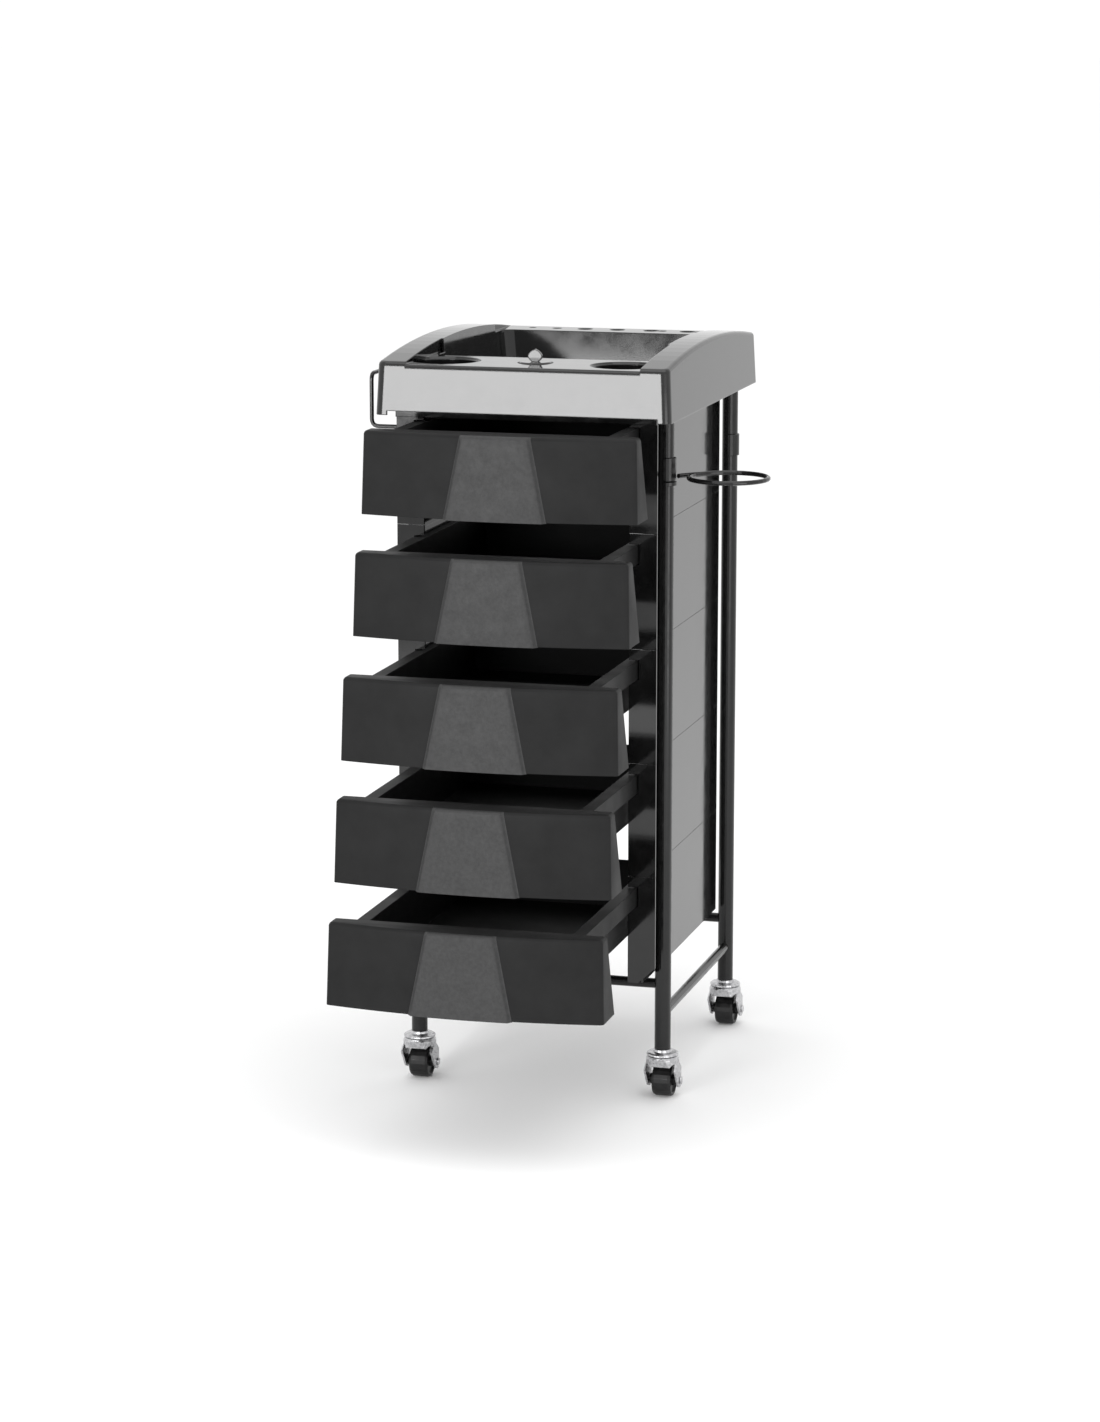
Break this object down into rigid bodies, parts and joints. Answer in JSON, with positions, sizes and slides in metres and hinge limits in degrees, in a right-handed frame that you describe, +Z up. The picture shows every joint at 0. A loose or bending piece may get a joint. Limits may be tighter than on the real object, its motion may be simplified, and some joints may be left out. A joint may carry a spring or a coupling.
{
  "type": "rolling salon trolley",
  "caption": "Rolling salon trolley with sliding drawers, a moulded top tray, tube frame on swivel casters, a towel rail and a tool ring.",
  "frame": {"origin": "on the floor under the middle of the four posts", "axes": "+Z up, drawers open towards -Y, +X is the side with the tool ring"},
  "size_m": [0.488, 0.7223, 0.9095],
  "materials": {
    "gloss_black": "high gloss black moulded plastic",
    "tube_black": "gloss black powder coated steel tube and wire",
    "satin_grey": "satin dark grey moulded plastic",
    "plate_grey": "finely textured grey plastic",
    "zinc": "bright zinc plated steel",
    "wheel_black": "black moulded wheel"
  },
  "bodies": {
    "frame": {"tray": "gloss_black", "front_top_rail": "gloss_black", "towel_rail": "tube_black", "ring_stop_collar": "tube_black", "rear_post_collar": "tube_black", "side_bar_left": "tube_black", "side_bar_right": "tube_black", "cross_bar_front": "tube_black", "cross_bar_rear": "tube_black", "post_front_left": "tube_black", "post_front_right": "tube_black", "post_rear_left": "tube_black", "post_rear_right": "tube_black", "side_panel_right_1": "gloss_black", "side_panel_right_2": "gloss_black", "side_panel_right_3": "gloss_black", "side_panel_right_4": "gloss_black", "side_panel_right_5": "gloss_black", "side_panel_left_1": "gloss_black", "side_panel_left_2": "gloss_black", "side_panel_left_3": "gloss_black", "side_panel_left_4": "gloss_black", "side_panel_left_5": "gloss_black", "caster_stem_front_left": "zinc", "caster_stem_front_right": "zinc", "caster_stem_rear_left": "zinc", "caster_stem_rear_right": "zinc"},
    "turn_knob": {"turn_knob": "gloss_black"},
    "tool_ring": {"tool_ring": "tube_black", "ring_sleeve": "tube_black"},
    "drawer_1": {"drawer_front_1": "satin_grey", "drawer_plate_1": "plate_grey", "drawer_box_1": "satin_grey"},
    "drawer_2": {"drawer_front_2": "satin_grey", "drawer_plate_2": "plate_grey", "drawer_box_2": "satin_grey"},
    "drawer_3": {"drawer_front_3": "satin_grey", "drawer_plate_3": "plate_grey", "drawer_box_3": "satin_grey"},
    "drawer_4": {"drawer_front_4": "satin_grey", "drawer_plate_4": "plate_grey", "drawer_box_4": "satin_grey"},
    "drawer_5": {"drawer_front_5": "satin_grey", "drawer_plate_5": "plate_grey", "drawer_box_5": "satin_grey"},
    "fork_front_left": {"caster_fork_front_left": "zinc", "caster_axle_front_left": "zinc"},
    "wheel_front_left": {"caster_wheel_front_left": "wheel_black"},
    "fork_front_right": {"caster_fork_front_right": "zinc", "caster_axle_front_right": "zinc"},
    "wheel_front_right": {"caster_wheel_front_right": "wheel_black"},
    "fork_rear_left": {"caster_fork_rear_left": "zinc", "caster_axle_rear_left": "zinc"},
    "wheel_rear_left": {"caster_wheel_rear_left": "wheel_black"},
    "fork_rear_right": {"caster_fork_rear_right": "zinc", "caster_axle_rear_right": "zinc"},
    "wheel_rear_right": {"caster_wheel_rear_right": "wheel_black"}
  },
  "joints": [
    {"name": "drawer_slide_1", "type": "slide", "parent": "frame", "child": "drawer_1", "axis": [0, -1, 0], "range_m": [-0.094, 0.191]},
    {"name": "drawer_slide_2", "type": "slide", "parent": "frame", "child": "drawer_2", "axis": [0, -1, 0], "range_m": [-0.1295, 0.1555]},
    {"name": "drawer_slide_3", "type": "slide", "parent": "frame", "child": "drawer_3", "axis": [0, -1, 0], "range_m": [-0.1775, 0.1075]},
    {"name": "drawer_slide_4", "type": "slide", "parent": "frame", "child": "drawer_4", "axis": [0, -1, 0], "range_m": [-0.2065, 0.0785]},
    {"name": "drawer_slide_5", "type": "slide", "parent": "frame", "child": "drawer_5", "axis": [0, -1, 0], "range_m": [-0.2385, 0.0465]},
    {"name": "caster_swivel_front_left", "type": "hinge", "parent": "frame", "child": "fork_front_left", "pos_m": [-0.154, -0.1677, 0.05], "axis": [0, 0, 1], "continuous": true},
    {"name": "wheel_spin_front_left", "type": "hinge", "parent": "fork_front_left", "child": "wheel_front_left", "pos_m": [-0.154, -0.1577, 0.02], "axis": [1, 0, 0], "continuous": true},
    {"name": "caster_swivel_front_right", "type": "hinge", "parent": "frame", "child": "fork_front_right", "pos_m": [0.154, -0.1677, 0.05], "axis": [0, 0, 1], "continuous": true},
    {"name": "wheel_spin_front_right", "type": "hinge", "parent": "fork_front_right", "child": "wheel_front_right", "pos_m": [0.154, -0.1577, 0.02], "axis": [1, 0, 0], "continuous": true},
    {"name": "caster_swivel_rear_left", "type": "hinge", "parent": "frame", "child": "fork_rear_left", "pos_m": [-0.154, 0.1677, 0.05], "axis": [0, 0, 1], "continuous": true},
    {"name": "wheel_spin_rear_left", "type": "hinge", "parent": "fork_rear_left", "child": "wheel_rear_left", "pos_m": [-0.154, 0.1777, 0.02], "axis": [1, 0, 0], "continuous": true},
    {"name": "caster_swivel_rear_right", "type": "hinge", "parent": "frame", "child": "fork_rear_right", "pos_m": [0.154, 0.1677, 0.05], "axis": [0, 0, 1], "continuous": true},
    {"name": "wheel_spin_rear_right", "type": "hinge", "parent": "fork_rear_right", "child": "wheel_rear_right", "pos_m": [0.154, 0.1777, 0.02], "axis": [1, 0, 0], "continuous": true},
    {"name": "ring_swivel", "type": "hinge", "parent": "frame", "child": "tool_ring", "pos_m": [0.154, -0.1677, 0.7585], "axis": [0, 0, 1], "range_deg": [-32, 22]},
    {"name": "knob_turn", "type": "hinge", "parent": "frame", "child": "turn_knob", "pos_m": [0, -0.187, 0.89], "axis": [0, 0, 1], "range_deg": [-90, 90]}
  ]
}
